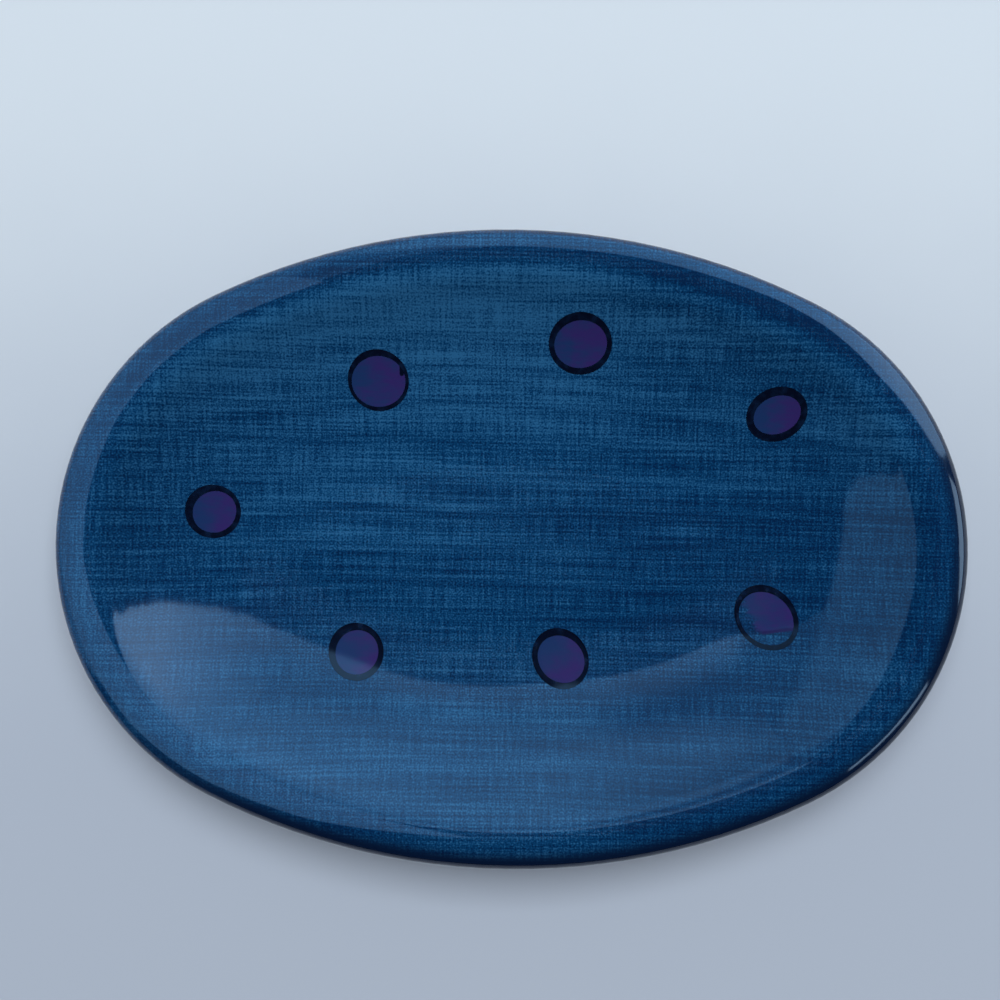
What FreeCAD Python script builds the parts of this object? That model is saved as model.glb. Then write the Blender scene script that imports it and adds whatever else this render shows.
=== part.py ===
import FreeCAD, Part
import math
import os
import Sketcher
from FreeCAD import Vector

# Oval soap dish: a carved body in bonded coats, with seven outlined spots painted in the basin.
# The origin is under the middle of the dish, +X runs along its length and +Z is up.

doc = FreeCAD.newDocument("soap_dish")
sheet = doc.addObject("Spreadsheet::Sheet", "sizes")

# Driving sizes in millimetres
DISH_SIZES = {
    "floor_length": 68.0,
    "floor_width": 26.2,
    "floor_end_radius": 6.75,
    "wall_run": 36.0,
    "basin_depth": 12.5,
    "crest_inset": 4.2,
    "crest_radius": 6.0,
    "edge_radius": 2.2,
    "floor_thickness": 6.0,
    "foot_height": 2.0,
    "foot_floor_gap": 6.0,
    "foot_ring_width": 6.0,
    "coat_thickness": 0.5,
    "bare_foot_edge": 0.4,
    "spot_seat": 0.3,
    "spot_film": 0.05,
    "outline_film": 0.1,
    "paint_margin": 9.0,
}

# Each spot's bearing round the dish, inset from the rim, long way, short way and turn, then its outline's
# long way, short way and turn and how far the outline is shifted to the left and the back of the dish.
# Bearings and turns are in degrees.
SPOTS = {
    1: dict(bearing=115.4, inset=20.5, long=8.40, short=7.80, turn=3,
            line_long=9.60, line_short=9.35, line_turn=144, line_left=0.03, line_back=0.17),
    2: dict(bearing=78.9, inset=16.5, long=8.20, short=7.15, turn=4,
            line_long=9.85, line_short=9.35, line_turn=172, line_left=0.05, line_back=0.10),
    3: dict(bearing=40.4, inset=16.0, long=7.20, short=5.80, turn=22,
            line_long=9.30, line_short=8.25, line_turn=24, line_left=0.08, line_back=0.09),
    4: dict(bearing=169.2, inset=22.4, long=6.75, short=6.35, turn=46,
            line_long=8.45, line_short=8.35, line_turn=125, line_left=0.21, line_back=0.08),
    5: dict(bearing=-125.5, inset=28.4, long=6.95, short=6.70, turn=71,
            line_long=9.10, line_short=8.65, line_turn=108, line_left=0.14, line_back=0.09),
    6: dict(bearing=-77.9, inset=31.2, long=7.90, short=6.90, turn=135,
            line_long=9.90, line_short=8.70, line_turn=121, line_left=0.10, line_back=0.11),
    7: dict(bearing=-26.0, inset=25.1, long=9.05, short=7.60, turn=137,
            line_long=10.85, line_short=9.20, line_turn=129, line_left=0.00, line_back=0.16),
}


def spot_name(number, field):
    """Names the cell that holds one value of one spot."""
    return "spot_%d_%s" % (number, field)


def fill_sheet():
    """Writes every driving size into the sheet as a named cell."""
    values = dict(DISH_SIZES)
    for number, spot in SPOTS.items():
        for field, value in spot.items():
            values[spot_name(number, field)] = value
    for line, (name, value) in enumerate(values.items(), 1):
        sheet.set("A%d" % line, name)
        sheet.set("B%d" % line, str(value))
        sheet.setAlias("B%d" % line, name)
    doc.recompute()


fill_sheet()

# Places and radii that follow from the driving sizes, as formulas on the sheet
COAT = "sizes.coat_thickness"
RIM_REACH = "(sizes.floor_length / 2 + sizes.wall_run)"
RIM_SIDE_REACH = "(sizes.floor_width / 2 + sizes.wall_run)"
FLOOR_REACH = "(sizes.floor_length / 2)"
FLOOR_HEIGHT = "(sizes.foot_height + sizes.floor_thickness)"
CREST_RUN = "(sizes.wall_run - sizes.crest_inset)"
CREST_REACH = "(" + RIM_REACH + " - sizes.crest_inset)"
DISH_HEIGHT = "(" + FLOOR_HEIGHT + " + sizes.basin_depth)"
CREST_HEIGHT = "(" + DISH_HEIGHT + " - sizes.crest_radius)"
EDGE_RUN = "(sizes.wall_run - sizes.edge_radius)"
EDGE_REACH = "(" + RIM_REACH + " - sizes.edge_radius)"
EDGE_HEIGHT = ("(" + CREST_HEIGHT + " + sqrt((sizes.crest_radius - sizes.edge_radius) ^ 2"
               " - (sizes.crest_inset - sizes.edge_radius) ^ 2))")
EDGE_RISE = "(" + EDGE_HEIGHT + " - sizes.foot_height)"
BASIN_RADIUS = ("((" + CREST_RUN + " ^ 2 + sizes.basin_depth ^ 2) / (2 * sizes.basin_depth)"
                " - sizes.crest_radius)")
UNDER_RADIUS = ("((" + EDGE_RUN + " ^ 2 + " + EDGE_RISE + " ^ 2 - sizes.edge_radius ^ 2)"
                " / (2 * (" + EDGE_RISE + " - sizes.edge_radius)))")
FOOT_INNER_REACH = "(" + FLOOR_REACH + " + sizes.foot_floor_gap)"
FOOT_OUTER_REACH = "(" + FOOT_INNER_REACH + " + sizes.foot_ring_width)"
PAINT_REACH = "(" + RIM_REACH + " - sizes.paint_margin)"

Z_AXIS = Vector(0, 0, 1)
ORIGIN_POINT = ("x axis", "start")

# How a sketch numbers its axes and the points of a curve
SKETCH_CODES = {"start": 1, "end": 2, "centre": 3, "x axis": -1, "y axis": -2}


def worth(expression):
    """Gives the present value of a formula on the sheet."""
    return float(sheet.evalExpression(expression.replace("sizes.", "")))


def origin_plane(body, role):
    """Finds one of a body's own base planes."""
    return next(feature for feature in body.Origin.OriginFeatures if feature.Role == role)


class Drawing:
    """A sketch on one of a body's base planes, with every dimension tied to the sheet."""

    def __init__(self, body, name, role, height="0"):
        self.sketch = body.newObject("Sketcher::SketchObject", name)
        self.sketch.AttachmentSupport = [(origin_plane(body, role), "")]
        self.sketch.MapMode = "FlatFace"
        if height != "0":
            self.sketch.setExpression("AttachmentOffset.Base.z", height)

    def arc(self, centre, radius, first, last):
        """Adds an arc that runs anticlockwise between two angles in radians."""
        circle = Part.Circle(Vector(centre[0], centre[1], 0), Z_AXIS, radius)
        return self.sketch.addGeometry(Part.ArcOfCircle(circle, first, last))

    def line(self, first, last):
        """Adds a straight line between two points."""
        return self.sketch.addGeometry(Part.LineSegment(Vector(*first, 0), Vector(*last, 0)))

    def rule(self, kind, *targets):
        """Adds a geometric rule such as Tangent or Vertical and gives its number."""
        codes = [SKETCH_CODES.get(target, target) for target in targets]
        return self.sketch.addConstraint(Sketcher.Constraint(kind, *codes))

    def size(self, kind, targets, expression):
        """Adds a dimension whose value follows a formula on the sheet."""
        index = self.rule(kind, *targets, worth(expression))
        self.sketch.setExpression("Constraints[%d]" % index, expression)


def quarter_arcs(drawing, outward):
    """Draws a quarter of the floor oval, moved outward: an end arc that runs on into a side arc."""
    long_reach = "sizes.floor_length / 2 + " + outward
    side_reach = "sizes.floor_width / 2 + " + outward
    end_curve = "sizes.floor_end_radius + " + outward
    half_length, half_width, end_radius = worth(long_reach), worth(side_reach), worth(end_curve)
    end_centre = half_length - end_radius
    side_radius = (end_radius ** 2 - half_width ** 2 - end_centre ** 2) / (2 * (end_radius - half_width))
    side_centre = half_width - side_radius
    joint = math.atan2(-side_centre, end_centre)
    end = drawing.arc((end_centre, 0), end_radius, 0, joint)
    side = drawing.arc((0, side_centre), side_radius, joint, math.pi / 2)
    drawing.rule("PointOnObject", end, "centre", "x axis")
    drawing.rule("PointOnObject", end, "start", "x axis")
    drawing.rule("PointOnObject", side, "centre", "y axis")
    drawing.rule("PointOnObject", side, "end", "y axis")
    drawing.rule("Tangent", end, "end", side, "start")
    drawing.size("DistanceX", (*ORIGIN_POINT, end, "start"), long_reach)
    drawing.size("DistanceY", (*ORIGIN_POINT, side, "end"), side_reach)
    drawing.size("Radius", (end,), end_curve)
    return end, side, half_length, half_width


def rim_path(body):
    """Draws the quarter of the rim along which a section is swept."""
    drawing = Drawing(body, body.Name + "_path", "XY_Plane")
    quarter_arcs(drawing, "sizes.wall_run")
    return drawing.sketch


def floor_quarter(body, height):
    """Draws a quarter of the flat floor at a height."""
    drawing = Drawing(body, body.Name + "_floor_outline", "XY_Plane", height)
    end, side, half_length, half_width = quarter_arcs(drawing, "0")
    down = drawing.line((0, half_width), (0, 0))
    along = drawing.line((0, 0), (half_length, 0))
    drawing.rule("Coincident", down, "start", side, "end")
    drawing.rule("Coincident", down, "end", *ORIGIN_POINT)
    drawing.rule("Coincident", along, "start", *ORIGIN_POINT)
    drawing.rule("Coincident", along, "end", end, "start")
    return drawing.sketch


class Curve:
    """One round stretch of the wall section: its centre, its radius and which way the wall's skin lies."""

    def __init__(self, reach, height, radius, skin):
        self.reach, self.height, self.radius, self.skin = reach, height, radius, skin

    def centre(self):
        """Gives the centre in the section."""
        return worth(self.reach), worth(self.height)

    def sunk(self, depth):
        """Gives the radius of the curve moved into the wall by a depth, as a formula."""
        return self.radius + self.skin + "(" + depth + ")"

    def draw(self, drawing, depth, first, last):
        """Draws a stretch of the curve moved into the wall by a depth."""
        return drawing.arc(self.centre(), worth(self.sunk(depth)), first, last)

    def pass_reach(self, depth, reach):
        """Gives the angle and height at which the sunk curve's lower half passes a reach."""
        middle, level = self.centre()
        radius = worth(self.sunk(depth))
        angle = -math.acos((reach - middle) / radius)
        return angle, level + radius * math.sin(angle)

    def direction(self, other):
        """Gives the angle from this curve's centre to another curve's centre."""
        here, there = self.centre(), other.centre()
        return math.atan2(there[1] - here[1], there[0] - here[0])


BASIN = Curve(FLOOR_REACH, FLOOR_HEIGHT + " + " + BASIN_RADIUS, BASIN_RADIUS, " + ")
CREST = Curve(CREST_REACH, CREST_HEIGHT, "sizes.crest_radius", " - ")
EDGE = Curve(EDGE_REACH, EDGE_HEIGHT, "sizes.edge_radius", " - ")
UNDER = Curve(FLOOR_REACH, "sizes.foot_height + " + UNDER_RADIUS, UNDER_RADIUS, " - ")
STRAIGHT_DOWN = -math.pi / 2


def hold_curve(drawing, arc, curve, depth):
    """Fixes an arc's radius and the distance of its centre from the middle of the dish."""
    drawing.size("DistanceX", (*ORIGIN_POINT, arc, "centre"), curve.reach)
    drawing.size("Radius", (arc,), curve.sunk(depth))


def upper_skin(drawing, depth, edge_first):
    """Draws the basin, crest and edge arcs of the wall's upper skin, each running on into the next."""
    basin = BASIN.draw(drawing, depth, STRAIGHT_DOWN, BASIN.direction(CREST))
    crest = CREST.draw(drawing, depth, CREST.direction(EDGE), CREST.direction(BASIN))
    edge = EDGE.draw(drawing, depth, edge_first, CREST.direction(EDGE))
    drawing.rule("Tangent", basin, "end", crest, "end")
    drawing.rule("Tangent", crest, "start", edge, "end")
    drawing.rule("Vertical", basin, "centre", basin, "start")
    hold_curve(drawing, basin, BASIN, depth)
    hold_curve(drawing, crest, CREST, depth)
    drawing.size("DistanceY", (*ORIGIN_POINT, crest, "centre"), CREST_HEIGHT)
    hold_curve(drawing, edge, EDGE, depth)
    return basin, edge


def mirror_quarter(body):
    """Completes a body from its first quarter."""
    for name, role in (("_across", "XZ_Plane"), ("_along", "YZ_Plane")):
        mirror = body.newObject("PartDesign::Mirrored", body.Name + name)
        mirror.TransformMode = "Whole shape"
        mirror.MirrorPlane = (origin_plane(body, role), [""])
        body.Tip = mirror
        doc.recompute()


def swept_body(name, draw_section, floor_height=None, floor_thickness=None):
    """Makes a body from a section swept round the rim and, if wanted, a flat floor within it."""
    body = doc.addObject("PartDesign::Body", name)
    path = rim_path(body)
    section = Drawing(body, name + "_section", "XZ_Plane")
    draw_section(section)
    doc.recompute()
    sweep = body.newObject("PartDesign::AdditivePipe", name + "_sweep")
    sweep.Profile = (section.sketch, [""])
    sweep.Spine = (path, ["Edge1", "Edge2"])
    doc.recompute()
    if floor_height:
        outline = floor_quarter(body, floor_height)
        doc.recompute()
        floor = body.newObject("PartDesign::Pad", name + "_floor")
        floor.Profile = (outline, [""])
        floor.setExpression("Length", floor_thickness)
        doc.recompute()
    mirror_quarter(body)
    return body


def core_section(drawing):
    """Draws the body's wall: basin side, round lip, underside and foot ring."""
    floor_reach = worth(FLOOR_REACH)
    inner_reach, outer_reach = worth(FOOT_INNER_REACH), worth(FOOT_OUTER_REACH)
    inner_angle, inner_height = UNDER.pass_reach(COAT, inner_reach)
    outer_angle, outer_height = UNDER.pass_reach(COAT, outer_reach)
    top = worth(FLOOR_HEIGHT + " - " + COAT)
    bottom = worth("sizes.foot_height + " + COAT)
    basin, edge = upper_skin(drawing, COAT, UNDER.direction(EDGE))
    outside = UNDER.draw(drawing, COAT, outer_angle, UNDER.direction(EDGE))
    inside = UNDER.draw(drawing, COAT, STRAIGHT_DOWN, inner_angle)
    outer_side = drawing.line((outer_reach, outer_height), (outer_reach, 0))
    sole = drawing.line((outer_reach, 0), (inner_reach, 0))
    inner_side = drawing.line((inner_reach, 0), (inner_reach, inner_height))
    floor_edge = drawing.line((floor_reach, bottom), (floor_reach, top))
    drawing.rule("Tangent", outside, "end", edge, "start")
    drawing.rule("Coincident", inside, "centre", outside, "centre")
    drawing.rule("Equal", inside, outside)
    drawing.rule("Coincident", outer_side, "start", outside, "start")
    drawing.rule("Coincident", outer_side, "end", sole, "start")
    drawing.rule("Coincident", sole, "end", inner_side, "start")
    drawing.rule("Coincident", inner_side, "end", inside, "end")
    drawing.rule("Coincident", floor_edge, "start", inside, "start")
    drawing.rule("Coincident", floor_edge, "end", basin, "start")
    drawing.rule("Vertical", outer_side)
    drawing.rule("PointOnObject", sole, "start", "x axis")
    drawing.rule("Horizontal", sole)
    drawing.rule("Vertical", inner_side)
    drawing.rule("Vertical", floor_edge)
    hold_curve(drawing, outside, UNDER, COAT)
    drawing.size("DistanceX", (*ORIGIN_POINT, sole, "start"), FOOT_OUTER_REACH)
    drawing.size("DistanceX", (*ORIGIN_POINT, sole, "end"), FOOT_INNER_REACH)


def draw_brim(drawing):
    """Draws the line across a coat's thickness at the dish's widest place."""
    reach, height = worth(RIM_REACH), worth(EDGE_HEIGHT)
    brim = drawing.line((reach, height), (reach - worth(COAT), height))
    drawing.rule("Horizontal", brim)
    return brim


def upper_coat_section(drawing):
    """Draws the coat over the basin wall and the lip, down to the dish's widest place."""
    floor_reach, level = worth(FLOOR_REACH), worth(FLOOR_HEIGHT)
    face, face_edge = upper_skin(drawing, "0", 0)
    back, back_edge = upper_skin(drawing, COAT, 0)
    brim = draw_brim(drawing)
    floor_edge = drawing.line((floor_reach, level), (floor_reach, level - worth(COAT)))
    drawing.rule("Coincident", brim, "start", face_edge, "start")
    drawing.rule("Coincident", brim, "end", back_edge, "start")
    drawing.rule("Horizontal", face_edge, "centre", face_edge, "start")
    drawing.rule("Coincident", floor_edge, "start", face, "start")
    drawing.rule("Coincident", floor_edge, "end", back, "start")


def underside_coat_section(drawing):
    """Draws the coat from the widest place down the outside and the foot ring's outer side."""
    foot_reach, hem = worth(FOOT_OUTER_REACH), worth("sizes.bare_foot_edge")
    hem_reach = foot_reach + worth(COAT)
    face_angle, face_height = UNDER.pass_reach("0", hem_reach)
    back_angle, back_height = UNDER.pass_reach(COAT, foot_reach)
    turn = UNDER.direction(EDGE)
    face_edge = EDGE.draw(drawing, "0", turn, 0)
    back_edge = EDGE.draw(drawing, COAT, turn, 0)
    face = UNDER.draw(drawing, "0", face_angle, turn)
    back = UNDER.draw(drawing, COAT, back_angle, turn)
    brim = draw_brim(drawing)
    inner_side = drawing.line((foot_reach, back_height), (foot_reach, hem))
    hem_line = drawing.line((foot_reach, hem), (hem_reach, hem))
    outer_side = drawing.line((hem_reach, hem), (hem_reach, face_height))
    drawing.rule("Tangent", face, "end", face_edge, "start")
    drawing.rule("Tangent", back, "end", back_edge, "start")
    drawing.rule("Coincident", face, "centre", back, "centre")
    drawing.rule("Coincident", face_edge, "centre", back_edge, "centre")
    drawing.rule("Coincident", brim, "start", face_edge, "end")
    drawing.rule("Coincident", brim, "end", back_edge, "end")
    drawing.rule("Horizontal", face_edge, "centre", face_edge, "end")
    drawing.rule("Coincident", inner_side, "start", back, "start")
    drawing.rule("Coincident", inner_side, "end", hem_line, "start")
    drawing.rule("Coincident", hem_line, "end", outer_side, "start")
    drawing.rule("Coincident", outer_side, "end", face, "start")
    drawing.rule("Vertical", inner_side)
    drawing.rule("Horizontal", hem_line)
    drawing.rule("Vertical", outer_side)
    hold_curve(drawing, face_edge, EDGE, "0")
    drawing.size("DistanceY", (*ORIGIN_POINT, face_edge, "centre"), EDGE_HEIGHT)
    drawing.size("Radius", (back_edge,), EDGE.sunk(COAT))
    hold_curve(drawing, face, UNDER, "0")
    drawing.size("DistanceX", (*ORIGIN_POINT, hem_line, "start"), FOOT_OUTER_REACH)
    drawing.size("DistanceX", (hem_line, "start", hem_line, "end"), COAT)
    drawing.size("DistanceY", (*ORIGIN_POINT, hem_line, "start"), "sizes.bare_foot_edge")


def base_coat_section(drawing):
    """Draws the coat under the floor's edge and down the foot ring's inner side."""
    foot_reach, hem = worth(FOOT_INNER_REACH), worth("sizes.bare_foot_edge")
    hem_reach = foot_reach - worth(COAT)
    floor_reach, level = worth(FLOOR_REACH), worth("sizes.foot_height")
    face_angle, face_height = UNDER.pass_reach("0", hem_reach)
    back_angle, back_height = UNDER.pass_reach(COAT, foot_reach)
    face = UNDER.draw(drawing, "0", STRAIGHT_DOWN, face_angle)
    back = UNDER.draw(drawing, COAT, STRAIGHT_DOWN, back_angle)
    inner_side = drawing.line((hem_reach, face_height), (hem_reach, hem))
    hem_line = drawing.line((hem_reach, hem), (foot_reach, hem))
    outer_side = drawing.line((foot_reach, hem), (foot_reach, back_height))
    floor_edge = drawing.line((floor_reach, level), (floor_reach, level + worth(COAT)))
    drawing.rule("Coincident", face, "centre", back, "centre")
    drawing.rule("Coincident", inner_side, "start", face, "end")
    drawing.rule("Coincident", inner_side, "end", hem_line, "start")
    drawing.rule("Coincident", hem_line, "end", outer_side, "start")
    drawing.rule("Coincident", outer_side, "end", back, "end")
    drawing.rule("Coincident", floor_edge, "start", face, "start")
    drawing.rule("Coincident", floor_edge, "end", back, "start")
    drawing.rule("Vertical", inner_side)
    drawing.rule("Horizontal", hem_line)
    drawing.rule("Vertical", outer_side)
    drawing.rule("Vertical", floor_edge)
    drawing.rule("Vertical", face, "centre", face, "start")
    hold_curve(drawing, face, UNDER, "0")
    drawing.size("DistanceY", (*ORIGIN_POINT, face, "start"), "sizes.foot_height")
    drawing.size("DistanceY", (floor_edge, "start", floor_edge, "end"), COAT)
    drawing.size("DistanceX", (*ORIGIN_POINT, hem_line, "end"), FOOT_INNER_REACH)
    drawing.size("DistanceX", (hem_line, "start", hem_line, "end"), COAT)
    drawing.size("DistanceY", (*ORIGIN_POINT, hem_line, "start"), "sizes.bare_foot_edge")


def paint_section(film):
    """Returns a function that draws paint seated in the upper coat and standing a film above it."""
    def draw(drawing):
        bed, top = "sizes.spot_seat", "0 - " + film
        bed_height, top_height = FLOOR_HEIGHT + " - " + bed, FLOOR_HEIGHT + " + " + film
        reach, floor_reach = worth(PAINT_REACH), worth(FLOOR_REACH)
        under_angle, under_height = BASIN.pass_reach(bed, reach)
        over_angle, over_height = BASIN.pass_reach(top, reach)
        under = BASIN.draw(drawing, bed, STRAIGHT_DOWN, under_angle)
        over = BASIN.draw(drawing, top, STRAIGHT_DOWN, over_angle)
        outer_side = drawing.line((reach, under_height), (reach, over_height))
        floor_edge = drawing.line((floor_reach, worth(bed_height)), (floor_reach, worth(top_height)))
        drawing.rule("Coincident", under, "centre", over, "centre")
        drawing.rule("Coincident", outer_side, "start", under, "end")
        drawing.rule("Coincident", outer_side, "end", over, "end")
        drawing.rule("Coincident", floor_edge, "start", under, "start")
        drawing.rule("Coincident", floor_edge, "end", over, "start")
        drawing.rule("Vertical", outer_side)
        drawing.rule("Vertical", floor_edge)
        drawing.rule("Vertical", under, "centre", under, "start")
        hold_curve(drawing, under, BASIN, bed)
        drawing.size("DistanceY", (*ORIGIN_POINT, floor_edge, "start"), bed_height)
        drawing.size("DistanceY", (*ORIGIN_POINT, floor_edge, "end"), top_height)
        drawing.size("DistanceX", (*ORIGIN_POINT, outer_side, "start"), PAINT_REACH)
    return draw


def paint_layer(name, film):
    """Makes the layer from which painted marks of one film thickness are cut."""
    return swept_body(name, paint_section(film), FLOOR_HEIGHT + " - sizes.spot_seat",
                      "sizes.spot_seat + " + film)


core = swept_body("wooden_core", core_section, "sizes.foot_height + " + COAT,
                  "sizes.floor_thickness - 2 * " + COAT)
upper_blank = swept_body("upper_blank", upper_coat_section, FLOOR_HEIGHT + " - " + COAT, COAT)
underside_coat = swept_body("underside_lacquer", underside_coat_section)
base_coat = swept_body("base_lacquer", base_coat_section, "sizes.foot_height", COAT)
spot_layer = paint_layer("spot_layer", "sizes.spot_film")
outline_layer = paint_layer("outline_layer", "sizes.outline_film")


def ellipse_prism(name, long_way, short_way, turn, across, back):
    """Makes an upright prism on an ellipse, tall enough to pass through the dish."""
    ellipse = doc.addObject("Part::Ellipse", name + "_ellipse")
    ellipse.setExpression("MajorRadius", long_way + " / 2")
    ellipse.setExpression("MinorRadius", short_way + " / 2")
    ellipse.setExpression("Placement.Base.x", across)
    ellipse.setExpression("Placement.Base.y", back)
    ellipse.setExpression("Placement.Rotation.Angle", turn)
    prism = doc.addObject("Part::Extrusion", name + "_prism")
    prism.Base = ellipse
    prism.DirMode = "Custom"
    prism.Dir = Z_AXIS
    prism.setExpression("LengthFwd", DISH_HEIGHT)
    prism.Solid = True
    return prism


def overlap(name, base, tool):
    """Keeps what two shapes share."""
    common = doc.addObject("Part::Common", name)
    common.Base = base
    common.Tool = tool
    return common


def cut_away(name, base, tool):
    """Takes one shape away from another."""
    cut = doc.addObject("Part::Cut", name)
    cut.Base = base
    cut.Tool = tool
    return cut


def paint_spot(number):
    """Makes one spot, the outline round it and the seat that both fill in the upper coat."""
    cell = {field: "sizes." + spot_name(number, field) for field in SPOTS[number]}
    across = "(" + RIM_REACH + " - %(inset)s) * cos(%(bearing)s)" % cell
    back = "(" + RIM_SIDE_REACH + " - %(inset)s) * sin(%(bearing)s)" % cell
    fill_prism = ellipse_prism("fill_%d" % number, cell["long"], cell["short"], cell["turn"], across, back)
    line_prism = ellipse_prism("line_%d" % number, cell["line_long"], cell["line_short"], cell["line_turn"],
                               across + " - " + cell["line_left"], back + " + " + cell["line_back"])
    ring = cut_away("ring_%d" % number, line_prism, fill_prism)
    spot = overlap("spot_%d" % number, spot_layer, fill_prism)
    outline = overlap("spot_outline_%d" % number, outline_layer, ring)
    seat = overlap("seat_%d" % number, outline_layer, line_prism)
    return spot, outline, seat


pieces = [core, underside_coat, base_coat]
seats = doc.addObject("Part::MultiFuse", "seats")
seat_shapes = []
for spot_number in SPOTS:
    painted_spot, painted_outline, cut_seat = paint_spot(spot_number)
    pieces.extend([painted_spot, painted_outline])
    seat_shapes.append(cut_seat)
seats.Shapes = seat_shapes
pieces.append(cut_away("upper_lacquer", upper_blank, seats))
doc.recompute()


def check(item):
    """Stops the build when an object did not compute."""
    if "Invalid" in item.State or "Error" in item.State:
        raise RuntimeError("%s did not compute: %s" % (item.Label, item.State))


for item in doc.Objects:
    check(item)
os.makedirs("parts", exist_ok=True)
for piece in pieces:
    if piece.Shape.isNull() or not piece.Shape.isValid():
        raise RuntimeError("%s has no valid shape" % piece.Label)
    piece.Shape.exportStep("parts/%s.step" % piece.Label)
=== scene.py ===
import math

import bpy
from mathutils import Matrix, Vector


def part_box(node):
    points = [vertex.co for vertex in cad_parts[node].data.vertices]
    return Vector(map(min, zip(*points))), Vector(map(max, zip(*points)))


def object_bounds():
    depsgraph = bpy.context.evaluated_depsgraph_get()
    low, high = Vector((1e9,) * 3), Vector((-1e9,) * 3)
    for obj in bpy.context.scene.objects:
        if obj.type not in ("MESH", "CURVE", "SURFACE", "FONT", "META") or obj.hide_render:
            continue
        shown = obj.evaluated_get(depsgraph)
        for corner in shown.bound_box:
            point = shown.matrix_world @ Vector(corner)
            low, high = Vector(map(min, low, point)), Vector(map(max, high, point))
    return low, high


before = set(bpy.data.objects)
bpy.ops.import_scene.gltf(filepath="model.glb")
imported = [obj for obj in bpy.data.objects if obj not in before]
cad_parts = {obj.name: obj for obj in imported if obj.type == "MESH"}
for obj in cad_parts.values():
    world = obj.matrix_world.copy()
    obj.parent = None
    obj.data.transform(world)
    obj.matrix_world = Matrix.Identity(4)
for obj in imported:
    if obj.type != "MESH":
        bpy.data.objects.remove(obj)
cad_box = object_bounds()

MM = 0.001
SPOT_NUMBERS = range(1, 8)

# Sizes of the dish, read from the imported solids
low_corner, high_corner = cad_box
HALF_LENGTH = (high_corner.x - low_corner.x) / 2
HALF_WIDTH = (high_corner.y - low_corner.y) / 2
RIM_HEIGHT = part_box("underside_lacquer")[1].z

# The rim's outline: end arcs of a chosen radius that run on into side arcs
END_RADIUS = 42.75 * MM
END_CENTRE = HALF_LENGTH - END_RADIUS
SIDE_RADIUS = (HALF_WIDTH ** 2 + END_CENTRE ** 2 - END_RADIUS ** 2) / (2 * (HALF_WIDTH - END_RADIUS))
SIDE_CENTRE = SIDE_RADIUS - HALF_WIDTH

# Camera straight above the dish, a little behind its middle, turned to match the dish's lie
CAMERA_DISTANCE = 300 * MM
CAMERA_OFFSET = (-1.91 * MM, 7.54 * MM)
CAMERA_TURN = math.radians(0.86)
VIEW_WIDTH = 153.54 * MM
SENSOR_WIDTH = 36.0

# Places of the mix node's sockets, which share their names
MIX_FACTOR = 0
MIX_NUMBERS = (2, 3)
MIX_NUMBER_RESULT = 0
MIX_COLOURS = (6, 7)
MIX_COLOUR_RESULT = 2


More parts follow.
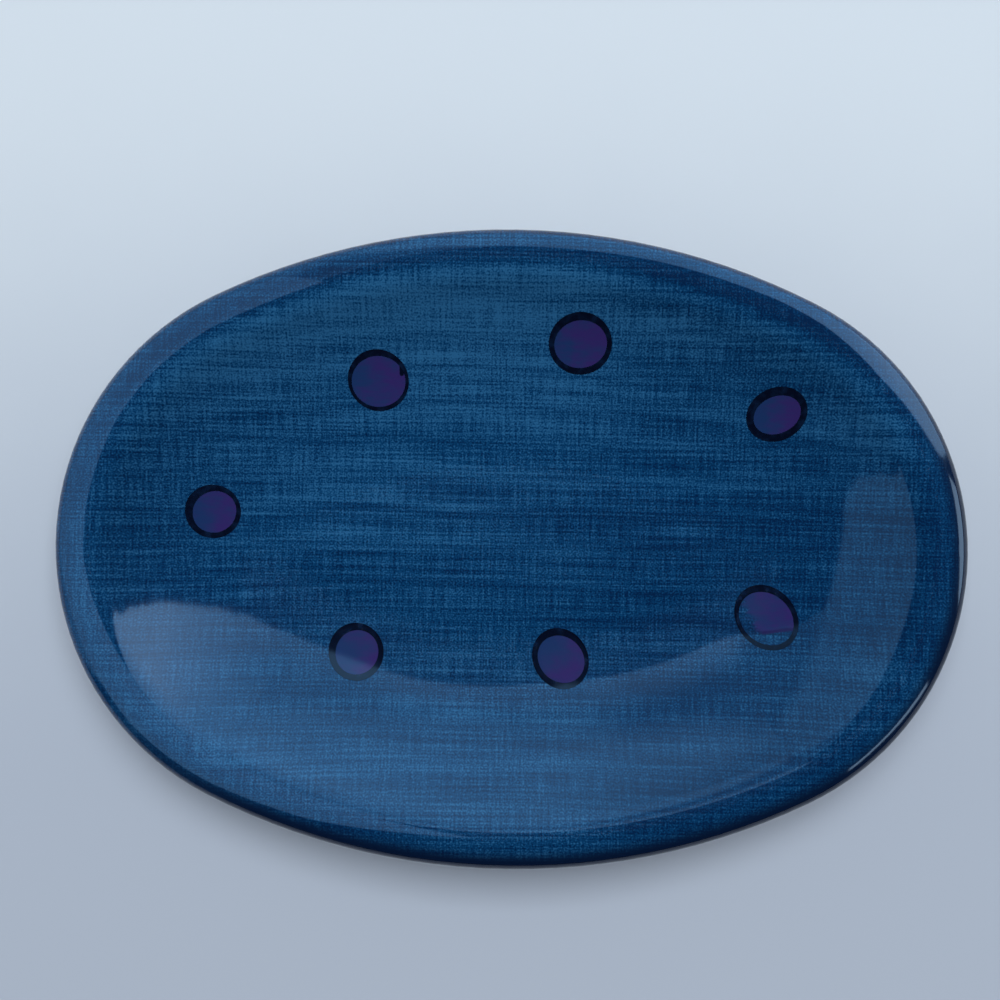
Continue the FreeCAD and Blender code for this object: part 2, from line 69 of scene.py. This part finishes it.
class Nodes:
    """Builds a material's node tree from short calls."""

    def __init__(self, name):
        self.material = bpy.data.materials.new(name)
        self.material.use_nodes = True
        self.tree = self.material.node_tree
        self.tree.nodes.clear()
        self.output = self.tree.nodes.new("ShaderNodeOutputMaterial")

    def put(self, socket, value):
        """Links a socket or sets a plain value."""
        if hasattr(value, "is_linked"):
            self.tree.links.new(value, socket)
        else:
            socket.default_value = value

    def add(self, kind, inputs=None, **settings):
        """Adds a node, sets its options and fills its inputs."""
        node = self.tree.nodes.new(kind)
        for key, value in settings.items():
            setattr(node, key, value)
        for key, value in (inputs or {}).items():
            self.put(node.inputs[key], value)
        return node

    def math(self, operation, first, second=0.0, third=0.0):
        """Adds a math node and gives its result."""
        inputs = {0: first, 1: second, 2: third}
        return self.add("ShaderNodeMath", inputs, operation=operation).outputs[0]

    def range(self, value, low, high, out_low=0.0, out_high=1.0, smooth=True):
        """Maps a value from one range to another, held at both ends."""
        kind = "SMOOTHSTEP" if smooth else "LINEAR"
        inputs = {"Value": value, "From Min": low, "From Max": high, "To Min": out_low, "To Max": out_high}
        return self.add("ShaderNodeMapRange", inputs, interpolation_type=kind).outputs[0]

    def mix(self, sockets, factor, first, second, **settings):
        """Adds a mix node and fills its factor and two of its sockets."""
        inputs = dict(zip((MIX_FACTOR, *sockets), (factor, first, second)))
        return self.add("ShaderNodeMix", inputs, **settings)

    def blend(self, factor, first, second, mode="MIX"):
        """Mixes two colours."""
        node = self.mix(MIX_COLOURS, factor, first, second, data_type="RGBA", blend_type=mode)
        return node.outputs[MIX_COLOUR_RESULT]

    def choose(self, factor, first, second):
        """Mixes two numbers."""
        node = self.mix(MIX_NUMBERS, factor, first, second, data_type="FLOAT")
        return node.outputs[MIX_NUMBER_RESULT]

    def point(self, x, y, z=0.0):
        """Joins three numbers into a place."""
        return self.add("ShaderNodeCombineXYZ", {"X": x, "Y": y, "Z": z}).outputs[0]

    def length(self, place):
        """Gives the distance of a place from the middle."""
        return self.add("ShaderNodeVectorMath", {0: place}, operation="LENGTH").outputs["Value"]

    def gap(self, first, second):
        """Gives the distance between two places."""
        node = self.add("ShaderNodeVectorMath", {0: first, 1: second}, operation="DISTANCE")
        return node.outputs["Value"]

    def noise(self, place, detail=2.0, roughness=0.5):
        """Adds a noise texture at a place given in its turns and gives its strength."""
        inputs = {"Vector": place, "Scale": 1.0, "Detail": detail, "Roughness": roughness}
        return self.add("ShaderNodeTexNoise", inputs).outputs[0]

    def place(self):
        """Gives x, y and z on the object in millimetres."""
        coordinates = self.add("ShaderNodeTexCoord").outputs["Object"]
        scaled = self.add("ShaderNodeVectorMath", {0: coordinates, "Scale": 1 / MM}, operation="SCALE")
        return self.add("ShaderNodeSeparateXYZ", {0: scaled.outputs[0]}).outputs

    def bump(self, height, strength, distance):
        """Adds a bump whose height is in units of a distance."""
        inputs = {"Height": height, "Strength": strength, "Distance": distance}
        return self.add("ShaderNodeBump", inputs).outputs[0]

    def finish(self, shader):
        """Joins a shader to the output and gives the material."""
        self.tree.links.new(shader.outputs[0], self.output.inputs[0])
        return self.material

    def surface(self, inputs):
        """Makes the material a surface with these inputs."""
        return self.finish(self.add("ShaderNodeBsdfPrincipled", inputs))

    def glow(self, light):
        """Makes the material an even light of a colour."""
        return self.finish(self.add("ShaderNodeEmission", {"Color": light, "Strength": 1.0}))


def colour(red, green, blue):
    """Gives an opaque colour."""
    return (red, green, blue, 1.0)


# The paints and the wood
PAINT_DARK = colour(0.0003, 0.014, 0.060)
PAINT_MIDDLE = colour(0.0014, 0.039, 0.124)
PAINT_LIGHT = colour(0.0180, 0.112, 0.265)
# Painted shade: the dark blue laid on the lip's near and right sides, where the lip faces away from the
# light
PAINT_EDGE_SHADE = colour(0.0010, 0.007, 0.030)
UNDERSIDE_DARK = colour(0.0012, 0.017, 0.062)
UNDERSIDE_LIGHT = colour(0.006, 0.045, 0.125)
SPOT_BLUE = colour(0.009, 0.030, 0.115)
SPOT_VIOLET = colour(0.028, 0.017, 0.118)
SPOT_STREAK = colour(0.012, 0.008, 0.070)
OUTLINE_DARK = colour(0.0008, 0.0025, 0.012)
OUTLINE_THIN = colour(0.0022, 0.009, 0.032)
WOOD_DARK = colour(0.30, 0.165, 0.075)
WOOD_LIGHT = colour(0.56, 0.37, 0.20)
WOOD_PORE = colour(0.20, 0.105, 0.05)

# The dull body of every paint and the clear coat over it
LACQUER = {"Roughness": 0.5, "Specular IOR Level": 0.03,
           "Coat Weight": 1.0, "Coat Roughness": 0.085, "Coat IOR": 1.5}

# Marks in the blue paint, as turns of a noise per millimetre along x and along y
LINES_ACROSS = (0.06, 3.0)
LINES_DOWN = (3.0, 0.18)
GRAIN = (3.6, 3.6)
STROKES = (0.012, 0.26)
BRISTLES = (0.02, 1.1)
SWAY = (0.02, 0.03)
CLOUDS = (0.022, 0.04)
RIPPLE = (0.045, 0.07)

# Marks in the other paints, the wood and the floor, in the same turns
UNDERSIDE_STREAKS = (0.05, 0.05)
UNDERSIDE_CLOUDS = (0.06, 0.06)
WOOD_BEND = (0.02, 0.06)
WOOD_RINGS = (0.012, 1.0)
WOOD_PORES = (0.25, 3.5)
SPOT_WASH = (0.22, 0.22)
SPOT_MARKS = (0.5, 1.6)
OUTLINE_WASH = (0.7, 0.7)
FLOOR_MOTTLE = (0.05, 0.05)

# Strokes round the rim, as turns per millimetre in from it
RIM_STROKES = 0.32

# How deep the marks press into the paint, the clear coat and the wood
WEAVE_DEPTH = 0.04 * MM
RIPPLE_DEPTH = 0.16 * MM
STROKE_DEPTH = 0.05 * MM
PORE_DEPTH = 0.08 * MM

# Where the long strokes bend with the far side, in y, and turn to follow the rim, as distances in from it
BEND_FROM = (-10.0, 35.0)
BEND_PER_SQUARE = 0.0032
SWAY_REACH = 9.0
RIM_TURN = (9.0, 3.0)

# Where the blue paint's tone changes, in millimetres, and the tones of its three colours
# Painted light that lightens the far wall, in y, turning to a darker tone on the far lip, in from the rim
LIT_FAR_WALL_Y = (5.0, 40.0)
FAR_LIP_INSET = (4.0, 7.0)
FAR_LIP_LEVEL = -0.4
RIGHT_END_X = (42.0, 64.0)
RIGHT_END_Y = (20.0, 4.0)
RIGHT_HALF_FROM = (5.0, 25.0)
RIGHT_HALF_TO = (58.0, 44.0)
# Painted shade on the lip's near and right sides: how far in from the rim it reaches and which sides it
# covers
SHADED_LIP_INSET = (3.8, 1.2)
SHADED_LIP_SIDE = (-0.35, 0.45)
TONE_DARK = 5.15
TONE_MIDDLE = 6.6
TONE_LIGHT = 8.5

# The two odd spots, with places in shares of a spot's radius
TAILED_SPOT = 1
TAIL_ACROSS = 0.86
TAIL_ENDS = (0.30, 0.80)
TAIL_EDGE = (0.10, 0.06)
PART_FILLED_SPOT = 7
FILLED_FROM_LEFT = (-0.30, 0.05)
FILLED_FROM_LOW = (-0.56, -0.50)
STREAK_FROM_LOW = (-0.36, -0.46)


def stretched(nodes, x, y, turns, seed=0.0, detail=2.0, roughness=0.5):
    """Gives a noise with its own turns per millimetre in each of two directions."""
    along, across = turns
    place = nodes.point(nodes.math("MULTIPLY", x, along), nodes.math("MULTIPLY", y, across), seed)
    return nodes.noise(place, detail=detail, roughness=roughness)


def weighted(nodes, *terms):
    """Adds up values, each times its weight."""
    total = 0.0
    for value, weight in terms:
        total = nodes.math("MULTIPLY_ADD", value, weight, total)
    return total


def rim_inset(nodes, x, y):
    """Gives the distance in from the rim's outline, in millimetres."""
    along = nodes.math("ABSOLUTE", x)
    across = nodes.math("ABSOLUTE", y)
    place = nodes.point(along, across)

    def inside(radius, centre):
        return nodes.math("SUBTRACT", radius / MM, nodes.gap(place, centre))

    end = inside(END_RADIUS, (END_CENTRE / MM, 0, 0))
    side = inside(SIDE_RADIUS, (0, -SIDE_CENTRE / MM, 0))
    slant = weighted(nodes, (across, END_CENTRE), (along, -SIDE_CENTRE))
    by_side = nodes.math("GREATER_THAN", slant, -SIDE_CENTRE * END_CENTRE / MM)
    return nodes.choose(by_side, end, side)


def brush_weave(nodes, x, y):
    """Gives the fine crossed lines that a stiff brush leaves in two passes."""
    lines_across = stretched(nodes, x, y, LINES_ACROSS, seed=1.0, detail=0.0)
    lines_down = stretched(nodes, x, y, LINES_DOWN, seed=7.0, detail=0.0)
    grain = stretched(nodes, x, y, GRAIN, seed=13.0, detail=0.0)
    return weighted(nodes, (lines_across, 0.30), (lines_down, 0.24), (grain, 0.46))


def brush_sweeps(nodes, x, y, inset):
    """Gives the long strokes: along the dish, bent with its far side, and round with its rim."""
    turn = nodes.math("ARCTAN2", nodes.math("DIVIDE", y, HALF_WIDTH / HALF_LENGTH), x)
    depth = nodes.math("MULTIPLY", inset, RIM_STROKES)
    ring = nodes.point(nodes.math("COSINE", turn), nodes.math("SINE", turn), depth)
    round_strokes = nodes.noise(ring, detail=3.0, roughness=0.6)
    bend_rate = nodes.range(y, *BEND_FROM, 0.0, BEND_PER_SQUARE)
    bend = nodes.math("MULTIPLY", nodes.math("MULTIPLY", x, x), bend_rate)
    sway = stretched(nodes, x, y, SWAY, seed=21.0, detail=1.0)
    bent_y = weighted(nodes, (y, 1.0), (bend, 1.0), (sway, SWAY_REACH))
    strokes = stretched(nodes, x, bent_y, STROKES, seed=3.0, detail=1.0)
    bristles = stretched(nodes, x, bent_y, BRISTLES, seed=5.0, detail=1.0)
    straight_strokes = weighted(nodes, (strokes, 0.62), (bristles, 0.38))
    return nodes.choose(nodes.range(inset, *RIM_TURN), straight_strokes, round_strokes)


def brushed_blue(nodes, x, y):
    """Gives the blue paint's colour, with painted shade on the lip's near and right sides and painted light
    on the far wall, and its weave.
    """
    inset = rim_inset(nodes, x, y)
    weave = brush_weave(nodes, x, y)
    sweeps = brush_sweeps(nodes, x, y, inset)
    clouds = stretched(nodes, x, y, CLOUDS, seed=11.0, detail=1.0)
    # Painted light on the far wall, which faces away from the lamp, and a darker tone on the far lip
    painted_light_far_wall = nodes.math("MULTIPLY", nodes.range(y, *LIT_FAR_WALL_Y),
                          nodes.range(inset, *FAR_LIP_INSET, FAR_LIP_LEVEL, 1.0))
    right_end = nodes.math("MULTIPLY", nodes.range(x, *RIGHT_END_X), nodes.range(y, *RIGHT_END_Y))
    right_half = nodes.math("MULTIPLY", nodes.range(x, *RIGHT_HALF_FROM), nodes.range(x, *RIGHT_HALF_TO))
    # Painted shade that darkens the lip's outer edge on the near and right sides
    near_right = weighted(nodes, (x, 0.6 * MM / HALF_LENGTH), (y, -0.9 * MM / HALF_WIDTH))
    shaded_side = nodes.range(near_right, *SHADED_LIP_SIDE)
    painted_shade_lip = nodes.math("MULTIPLY", nodes.range(inset, *SHADED_LIP_INSET), shaded_side)
    tone = weighted(nodes, (weave, 8.8), (sweeps, 3.2), (clouds, 1.2),
                    (painted_light_far_wall, 1.15), (right_end, -0.6), (right_half, -0.45))
    deep = nodes.blend(nodes.range(tone, TONE_DARK, TONE_MIDDLE, smooth=False), PAINT_DARK, PAINT_MIDDLE)
    brushed = nodes.blend(nodes.range(tone, TONE_MIDDLE, TONE_LIGHT, smooth=False), deep, PAINT_LIGHT)
    return nodes.blend(painted_shade_lip, brushed, PAINT_EDGE_SHADE), weave


def blue_lacquer():
    """Pearl blue paint brushed both ways under a smooth, faintly rippled clear coat."""
    nodes = Nodes("blue_lacquer_brushed")
    x, y, _ = nodes.place()
    paint, weave = brushed_blue(nodes, x, y)
    ripple = stretched(nodes, x, y, RIPPLE, detail=0.0)
    return nodes.surface({"Base Color": paint, "Normal": nodes.bump(weave, 0.10, WEAVE_DEPTH),
                          "Coat Normal": nodes.bump(ripple, 1.0, RIPPLE_DEPTH), **LACQUER})


def plain_lacquer():
    """Darker blue paint on the underside, brushed once round."""
    nodes = Nodes("plain_lacquer_gloss")
    x, y, z = nodes.place()
    depth = nodes.math("MULTIPLY", z, 1.6)
    streaks = stretched(nodes, x, y, UNDERSIDE_STREAKS, seed=depth, detail=3.0, roughness=0.6)
    clouds = stretched(nodes, x, y, UNDERSIDE_CLOUDS, seed=z)
    tone = weighted(nodes, (streaks, 0.6), (clouds, 0.4))
    paint = nodes.blend(nodes.range(tone, 0.35, 0.68), UNDERSIDE_DARK, UNDERSIDE_LIGHT)
    strokes = nodes.bump(streaks, 0.15, STROKE_DEPTH)
    return nodes.surface({"Base Color": paint, "Normal": strokes, **LACQUER})


def bare_wood():
    """Sanded pale wood with its grain along the dish."""
    nodes = Nodes("bare_wood_sanded")
    x, y, z = nodes.place()
    bend = stretched(nodes, x, y, WOOD_BEND)
    bent_y = weighted(nodes, (y, 0.5), (bend, 4.0))
    depth = nodes.math("MULTIPLY", z, 0.5)
    rings = stretched(nodes, x, bent_y, WOOD_RINGS, seed=depth, detail=4.0, roughness=0.6)
    pores = stretched(nodes, x, y, WOOD_PORES, seed=z)
    grain = nodes.blend(nodes.range(rings, 0.36, 0.64), WOOD_DARK, WOOD_LIGHT)
    wood = nodes.blend(nodes.range(pores, 0.60, 0.72, 0.0, 0.45), grain, WOOD_PORE)
    return nodes.surface({"Base Color": wood, "Roughness": nodes.range(pores, 0.3, 0.7, 0.55, 0.75),
                          "Normal": nodes.bump(pores, 0.3, PORE_DEPTH)})


def line_distance(nodes, u, v, line_u, ends):
    """Gives the distance to a short upright line."""
    nearest = nodes.range(v, *ends, *ends, smooth=False)
    return nodes.gap(nodes.point(u, v), nodes.point(line_u, nearest))


def spot_paint(number):
    """Thin purple paint, bluer on the left; one spot has a stroke's tail and one is part filled."""
    nodes = Nodes("spot_paint_%d" % number)
    x, y, _ = nodes.place()
    corner, far_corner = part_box("spot_%d" % number)
    middle = (corner + far_corner) / 2
    radius = (far_corner.x - corner.x) / 2
    u = nodes.math("DIVIDE", nodes.math("SUBTRACT", x, middle.x / MM), radius / MM)
    v = nodes.math("DIVIDE", nodes.math("SUBTRACT", y, middle.y / MM), radius / MM)
    wash = stretched(nodes, x, y, SPOT_WASH, seed=4.0, detail=3.0)
    marks = stretched(nodes, x, y, SPOT_MARKS, seed=2.0)
    tone = weighted(nodes, (wash, 0.9), (marks, 0.4), (u, 0.16))
    paint = nodes.blend(nodes.range(tone, 0.40, 0.90), SPOT_BLUE, SPOT_VIOLET)
    if number == TAILED_SPOT:
        tail = nodes.range(line_distance(nodes, u, v, TAIL_ACROSS, TAIL_ENDS), *TAIL_EDGE)
        paint = nodes.blend(tail, paint, OUTLINE_DARK)
    if number == PART_FILLED_SPOT:
        bare_left = weighted(nodes, (u, 1.0), (v, 0.49), (marks, 0.8))
        bare_low = weighted(nodes, (v, 1.0), (u, -0.15), (marks, 0.10))
        streak = nodes.range(bare_low, *STREAK_FROM_LOW)
        filled = nodes.math("MULTIPLY", nodes.range(bare_left, *FILLED_FROM_LEFT),
                            nodes.range(bare_low, *FILLED_FROM_LOW))
        blue, _ = brushed_blue(nodes, x, y)
        paint = nodes.blend(filled, blue, nodes.blend(streak, paint, SPOT_STREAK))
    return nodes.surface({"Base Color": paint, "Normal": nodes.bump(marks, 0.1, STROKE_DEPTH), **LACQUER})


def outline_paint():
    """Near-black paint, thick and slightly uneven."""
    nodes = Nodes("outline_paint_dark")
    x, y, _ = nodes.place()
    wash = stretched(nodes, x, y, OUTLINE_WASH, detail=3.0)
    paint = nodes.blend(nodes.range(wash, 0.40, 0.75), OUTLINE_DARK, OUTLINE_THIN)
    return nodes.surface({"Base Color": paint, "Normal": nodes.bump(wash, 0.1, STROKE_DEPTH), **LACQUER})


def dress(material, *names):
    """Gives CAD nodes one material."""
    for name in names:
        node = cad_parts[name]
        node.data.materials.clear()
        node.data.materials.append(material)


dress(bare_wood(), "wooden_core")
dress(blue_lacquer(), "upper_lacquer")
dress(plain_lacquer(), "underside_lacquer", "base_lacquer")
for spot_number in SPOT_NUMBERS:
    dress(spot_paint(spot_number), "spot_%d" % spot_number)
dress(outline_paint(), *["spot_outline_%d" % number for number in SPOT_NUMBERS])


# The floor: its colours, where painted light pales it in y and where it starts to glow, in millimetres, and
# its size
FLOOR_NEAR = colour(0.43, 0.50, 0.61)
FLOOR_FAR = colour(0.66, 0.755, 0.85)
FLOOR_PAINTED_FALLOFF = (-35.0, 95.0)
MOTTLE_REACH = 12.0
FLOOR_GLOW_FROM = (200.0, 1100.0)
FLOOR_GLOW = 0.8
FLOOR_REACH = 8.0
FLOOR_HEIGHT = -0.02 * MM


def pale_floor():
    """A plain matt floor, with painted light paling it towards the back, a little mottled and glowing far
    out to meet the room.
    """
    nodes = Nodes("floor_pale")
    x, y, _ = nodes.place()
    mottle = stretched(nodes, x, y, FLOOR_MOTTLE, detail=4.0)
    level = nodes.math("MULTIPLY_ADD", mottle, MOTTLE_REACH, y)
    # Painted light: the floor's colour pales towards the back as if lit more strongly there
    paint = nodes.blend(nodes.range(level, *FLOOR_PAINTED_FALLOFF), FLOOR_NEAR, FLOOR_FAR)
    away = nodes.length(nodes.point(x, y))
    return nodes.surface({"Base Color": paint, "Roughness": 0.7, "Specular IOR Level": 0.1,
                          "Emission Color": FLOOR_FAR,
                          "Emission Strength": nodes.range(away, *FLOOR_GLOW_FROM, 0.0, FLOOR_GLOW)})


def add_level_sheet(name, corners, height, material):
    """Adds a level face to the stage; its corners are in metres."""
    mesh = bpy.data.meshes.new(name)
    mesh.from_pydata([(x, y, height) for x, y in corners], [], [range(len(corners))])
    sheet = bpy.data.objects.new(name, mesh)
    sheet.data.materials.append(material)
    bpy.context.scene.collection.objects.link(sheet)
    return sheet


def add_floor():
    """Lays a wide floor a hair under the foot ring, so that the two faces stay apart."""
    corners = [(-FLOOR_REACH, -FLOOR_REACH), (FLOOR_REACH, -FLOOR_REACH),
               (FLOOR_REACH, FLOOR_REACH), (-FLOOR_REACH, FLOOR_REACH)]
    add_level_sheet("floor", corners, FLOOR_HEIGHT, pale_floor())


# Light that each soft panel gives, and the room's fill as it lights the dish and as the gloss mirrors it
SKY_DIM = colour(0.25, 0.57, 0.98)
SKY_BRIGHT = colour(0.60, 1.38, 2.42)
SKY_GLARE = colour(1.50, 2.60, 4.10)
SKY_NEAR = colour(0.42, 0.92, 1.60)
GLINT = colour(2.0, 3.1, 4.4)
OVERHEAD = 9.8
OVERHEAD_SIZE = 0.8
OVERHEAD_PLACE = (0.05, 0.40, 1.5)
ROOM_FILL = colour(0.22, 0.22, 0.22)
ROOM_MIRRORED = colour(0.008, 0.014, 0.022)

# Places in the sky, in millimetres: its paling in x and y, its bent streak, its dim patch and its glare
SKY_PALING_X = (-250.0, 250.0)
SKY_PALING_Y = (150.0, 330.0)
SKY_BACK_LEVEL = 1.22
STREAK_X = 5.0
STREAK_Y = 152.0
STREAK_SLOPE = 1.9
STREAK_HALF_WIDTH = 18.0
STREAK_LEVEL = 0.70
PATCH_RIGHT = (5.0, -25.0)
PATCH_LEFT = (-230.0, -140.0)
PATCH_BACK = (130.0, 250.0)
PATCH_LEVELS = (0.40, 1.12)
GLARE_SLOPE = 0.8
GLARE_FROM = (-100.0, 200.0)

# Outlines, in metres, of the sky, the cards by the rim and the glint panels that the gloss mirrors
SKY_HEIGHT = 0.31
SKY_CORNERS = ((9.0, 3.1), (0.80, 0.27), (0.58, 0.185), (0.41, 0.137), (0.30, 0.116), (0.20, 0.100),
               (0.06, 0.082), (-0.12, 0.101), (-0.175, 0.087),
               (-0.20, 0.0), (-0.243, -0.117), (-0.31, -0.182), (-0.375, -0.217), (-0.51, -0.272),
               (-0.70, -0.335), (-9.0, -4.2), (-9.0, 9.0), (9.0, 9.0))
CARD_HEIGHT = 0.032
LIGHT_CARD_CORNERS = ((-0.030, 0.0410), (-0.048, 0.0325), (-0.056, 0.0260), (-0.0615, 0.0185),
                      (-0.0655, 0.006), (-0.0658, -0.002), (-0.0615, -0.0082), (-0.0515, -0.016),
                      (-0.043, -0.0245), (-0.028, -0.0325), (-0.016, -0.0375), (-0.005, -0.0425),
                      (-0.016, -0.0440), (-0.034, -0.0485), (-0.052, -0.0475), (-0.0733, -0.0395),
                      (-0.10, 0.0), (-0.085, 0.05), (-0.045, 0.06))
DARK_CARD_CORNERS = ((-0.030, 0.0405), (0.0, 0.0432), (0.030, 0.0392), (0.046, 0.0315), (0.056, 0.0235),
                     (0.060, 0.0205), (0.0625, 0.0250), (0.0591, 0.0318), (0.0532, 0.0422),
                     (0.0463, 0.0488), (0.025, 0.0535), (-0.0025, 0.0539), (-0.020, 0.0495),
                     (-0.030, 0.0430))
END_CARD_CORNERS = ((0.036, 0.012), (0.036, -0.003), (0.0382, -0.0048), (0.0415, -0.0092),
                    (0.0453, -0.0204), (0.0419, -0.0256), (0.047, -0.027), (0.055, -0.020),
                    (0.058, -0.005), (0.057, 0.010), (0.052, 0.016))
GLINT_HEIGHT = 0.05
GLINT_CORNERS = ((0.119, 0.026), (0.121, 0.0), (0.131, -0.014), (0.165, -0.032), (0.40, -0.032),
                 (0.40, 0.026))
LOW_GLINT_CORNERS = ((0.116, -0.045), (0.091, -0.060), (0.084, -0.068), (0.089, -0.075), (0.100, -0.065),
                     (0.126, -0.051))


def sky_light():
    """A soft blue sky, brightest on the right, with a dim bent streak and a dim patch left of it."""
    nodes = Nodes("sky_light")
    x, y, _ = nodes.place()
    across = nodes.blend(nodes.range(x, *SKY_PALING_X, smooth=False), SKY_DIM, SKY_BRIGHT)
    aside = nodes.math("ABSOLUTE", nodes.math("SUBTRACT", x, STREAK_X))
    bent_y = weighted(nodes, (y, 1.0), (aside, -STREAK_SLOPE))
    off_streak = nodes.math("ABSOLUTE", nodes.math("SUBTRACT", bent_y, STREAK_Y))
    streak = nodes.range(off_streak, 0.0, STREAK_HALF_WIDTH, STREAK_LEVEL, 1.0)
    patch = nodes.math("MULTIPLY", nodes.range(x, *PATCH_RIGHT), nodes.range(x, *PATCH_LEFT))
    patch_level = nodes.choose(patch, 1.0, nodes.range(bent_y, *PATCH_BACK, *PATCH_LEVELS))
    depth = nodes.range(y, *SKY_PALING_Y, 1.0, SKY_BACK_LEVEL)
    level = nodes.math("MULTIPLY", nodes.math("MULTIPLY", streak, patch_level), depth)
    soft = nodes.blend(1.0, across, nodes.point(level, level, level), mode="MULTIPLY")
    to_right = weighted(nodes, (x, 1.0), (y, -GLARE_SLOPE))
    glare = nodes.range(to_right, *GLARE_FROM, smooth=False)
    return nodes.glow(nodes.blend(glare, soft, SKY_GLARE))


def add_mirrored(name, corners, height, light):
    """Hangs a level sheet of light that only the gloss mirrors."""
    sheet = add_level_sheet(name, corners, height, light)
    sheet.visible_camera = False
    sheet.visible_diffuse = False
    sheet.visible_shadow = False


def add_overhead():
    """Hangs the square soft lamp that lights the dish and the floor from above, unseen in the gloss."""
    lamp = bpy.data.lights.new("overhead", "AREA")
    lamp.size = OVERHEAD_SIZE
    lamp.energy = OVERHEAD * math.pi * OVERHEAD_SIZE ** 2
    lamp_object = bpy.data.objects.new("overhead", lamp)
    lamp_object.location = OVERHEAD_PLACE
    lamp_object.visible_camera = False
    lamp_object.visible_glossy = False
    bpy.context.scene.collection.objects.link(lamp_object)


def add_light():
    """Lights the dish softly from above and behind, with a blue sky mirrored in its gloss."""
    add_mirrored("sky", SKY_CORNERS, SKY_HEIGHT, sky_light())
    add_mirrored("light_card", LIGHT_CARD_CORNERS, CARD_HEIGHT, Nodes("card_light").glow(SKY_NEAR))
    add_mirrored("dark_card", DARK_CARD_CORNERS, CARD_HEIGHT, Nodes("card_dark").glow(ROOM_MIRRORED))
    add_mirrored("end_card", END_CARD_CORNERS, CARD_HEIGHT, Nodes("end_card_dark").glow(ROOM_MIRRORED))
    add_mirrored("glint", GLINT_CORNERS, GLINT_HEIGHT, Nodes("glint_light").glow(GLINT))
    add_mirrored("low_glint", LOW_GLINT_CORNERS, GLINT_HEIGHT, Nodes("low_glint_light").glow(GLINT))
    add_overhead()


def add_room():
    """Fills the room with an even light, dim in the gloss and pale behind the floor."""
    world = bpy.data.worlds.new("studio")
    bpy.context.scene.world = world
    world.use_nodes = True
    tree = world.node_tree
    path = tree.nodes.new("ShaderNodeLightPath")
    other_socket, ray_socket = MIX_COLOURS

    def light_for(ray, light):
        mixer = tree.nodes.new("ShaderNodeMix")
        mixer.data_type = "RGBA"
        tree.links.new(path.outputs[ray], mixer.inputs[MIX_FACTOR])
        mixer.inputs[ray_socket].default_value = light
        return mixer

    in_gloss = light_for("Is Glossy Ray", ROOM_MIRRORED)
    in_gloss.inputs[other_socket].default_value = ROOM_FILL
    in_view = light_for("Is Camera Ray", FLOOR_FAR)
    tree.links.new(in_gloss.outputs[MIX_COLOUR_RESULT], in_view.inputs[other_socket])
    tree.links.new(in_view.outputs[MIX_COLOUR_RESULT], tree.nodes["Background"].inputs["Color"])


def add_camera():
    """Sets the camera over the dish so that the widest line of the lip has the photo's size."""
    camera = bpy.data.cameras.new("camera")
    camera.sensor_width = SENSOR_WIDTH
    camera.lens = SENSOR_WIDTH * CAMERA_DISTANCE / VIEW_WIDTH
    camera_object = bpy.data.objects.new("camera", camera)
    camera_object.location = (*CAMERA_OFFSET, RIM_HEIGHT + CAMERA_DISTANCE)
    camera_object.rotation_euler = (0, 0, CAMERA_TURN)
    bpy.context.scene.collection.objects.link(camera_object)
    bpy.context.scene.camera = camera_object


add_floor()
add_light()
add_room()
add_camera()
bpy.context.scene.view_settings.view_transform = "Standard"
